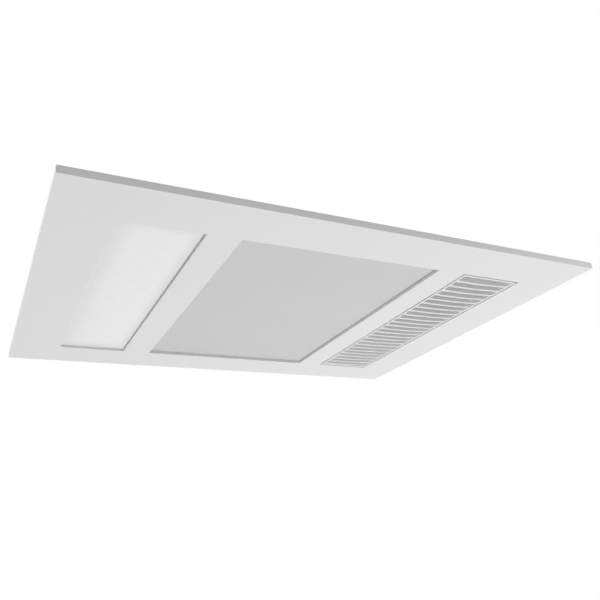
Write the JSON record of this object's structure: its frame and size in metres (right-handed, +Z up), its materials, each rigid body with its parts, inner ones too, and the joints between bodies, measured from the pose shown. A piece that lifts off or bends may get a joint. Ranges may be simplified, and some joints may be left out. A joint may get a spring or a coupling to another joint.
{
  "type": "bathroom ceiling heater",
  "caption": "Recessed bathroom ceiling unit: panel light, screened exhaust intake and louvred fan-heater outlet in a flat rectangular fascia, over a sheet-metal casing with a side duct collar.",
  "frame": {"origin": "centre of the ceiling cut-out, in the plane of the ceiling's underside", "axes": "+X from the light to the heater's grille along the long side, +Y from the near end to the far end, +Z up into the ceiling space"},
  "size_m": [0.5053, 0.4, 0.1678],
  "materials": {
    "white_plastic": "fine satin moulding",
    "screen": "matt light grey, finely perforated",
    "opal": "opal sheet, softly glowing",
    "zinc_sheet": "zinc-coated sheet with faint spangle",
    "steel": "bright zinc-plated steel",
    "aluminium": "bare folded strip",
    "grey_plastic": "matt moulding",
    "black_plastic": "satin moulding",
    "rubber": "matt",
    "board_white": "smooth white",
    "tray_paint": "white reflector paint",
    "insulator": "brown heat-resisting moulding",
    "copper": "varnished winding"
  },
  "bodies": {
    "base": {"fascia": "white_plastic", "fascia_screw_1": "steel", "fascia_screw_2": "steel", "fascia_screw_3": "steel", "fascia_screw_4": "steel", "catch_magnet_near": "black_plastic", "catch_magnet_far": "black_plastic", "outlet_grille": "white_plastic", "light_diffuser": "opal", "light_seal": "rubber", "light_tray": "tray_paint", "led_board": "board_white", "led_driver": "grey_plastic", "casing_body": "zinc_sheet", "casing_end_near": "zinc_sheet", "casing_end_far": "zinc_sheet", "rail_left": "zinc_sheet", "rail_right": "zinc_sheet", "exhaust_scroll": "zinc_sheet", "inlet_plate": "zinc_sheet", "motor_bracket": "zinc_sheet", "exhaust_motor": "steel", "duct_spigot": "white_plastic", "heater_duct": "zinc_sheet", "heater_element": "aluminium", "element_cap_near": "insulator", "element_cap_far": "insulator", "blower_housing": "zinc_sheet", "blower_tongue": "zinc_sheet", "rotor_bush": "rubber", "heater_motor": "steel", "motor_coil": "copper", "thermal_cutout": "black_plastic", "wiring_box": "grey_plastic", "wiring_cover": "grey_plastic", "cover_screw_1": "steel", "cover_screw_2": "steel", "terminal_block": "board_white", "cable_gland": "black_plastic", "gland_nut": "black_plastic", "wire_grommet": "rubber"},
    "exhaust_rotor": {"exhaust_impeller": "black_plastic", "exhaust_shaft": "steel", "impeller_nut": "steel"},
    "heater_wheel": {"heater_rotor": "black_plastic"},
    "damper": {"damper_flap": "grey_plastic", "damper_pin": "steel"},
    "intake_panel": {"intake_screen": "screen", "intake_frame": "white_plastic", "strike_plate_near": "steel", "strike_plate_far": "steel"},
    "clamp_1_screw": {"clamp_screw_1": "steel"},
    "clamp_1_arm": {"clamp_arm_1": "grey_plastic"},
    "clamp_2_screw": {"clamp_screw_2": "steel"},
    "clamp_2_arm": {"clamp_arm_2": "grey_plastic"},
    "clamp_3_screw": {"clamp_screw_3": "steel"},
    "clamp_3_arm": {"clamp_arm_3": "grey_plastic"},
    "clamp_4_screw": {"clamp_screw_4": "steel"},
    "clamp_4_arm": {"clamp_arm_4": "grey_plastic"}
  },
  "joints": [
    {"name": "exhaust_spin", "type": "hinge", "parent": "base", "child": "exhaust_rotor", "pos_m": [0, -0.01, 0.143], "axis": [0, 0, 1], "continuous": true},
    {"name": "heater_spin", "type": "hinge", "parent": "base", "child": "heater_wheel", "pos_m": [0.159, 0, 0.084], "axis": [0, 1, 0], "continuous": true},
    {"name": "damper_swing", "type": "hinge", "parent": "base", "child": "damper", "pos_m": [-0.2263, 0.079, 0.111], "axis": [0, 1, 0], "range_deg": [0, 80]},
    {"name": "panel_swing", "type": "hinge", "parent": "base", "child": "intake_panel", "pos_m": [-0.096, 0, -0.0006], "axis": [0, 1, 0], "range_deg": [0, 90]},
    {"name": "clamp_1_turn", "type": "hinge", "parent": "base", "child": "clamp_1_screw", "pos_m": [-0.115, -0.147, 0.0097], "axis": [0, 0, 1], "range_deg": [0, 90]},
    {"name": "clamp_1_climb", "type": "slide", "parent": "clamp_1_screw", "child": "clamp_1_arm", "axis": [0, 0, 1], "range_m": [-0.003, 0.017]},
    {"name": "clamp_2_turn", "type": "hinge", "parent": "base", "child": "clamp_2_screw", "pos_m": [0.115, -0.147, 0.0097], "axis": [0, 0, -1], "range_deg": [0, 90]},
    {"name": "clamp_2_climb", "type": "slide", "parent": "clamp_2_screw", "child": "clamp_2_arm", "axis": [0, 0, 1], "range_m": [-0.003, 0.017]},
    {"name": "clamp_3_turn", "type": "hinge", "parent": "base", "child": "clamp_3_screw", "pos_m": [-0.115, 0.147, 0.0097], "axis": [0, 0, -1], "range_deg": [0, 90]},
    {"name": "clamp_3_climb", "type": "slide", "parent": "clamp_3_screw", "child": "clamp_3_arm", "axis": [0, 0, 1], "range_m": [-0.003, 0.017]},
    {"name": "clamp_4_turn", "type": "hinge", "parent": "base", "child": "clamp_4_screw", "pos_m": [0.115, 0.147, 0.0097], "axis": [0, 0, 1], "range_deg": [0, 90]},
    {"name": "clamp_4_climb", "type": "slide", "parent": "clamp_4_screw", "child": "clamp_4_arm", "axis": [0, 0, 1], "range_m": [-0.003, 0.017]}
  ]
}
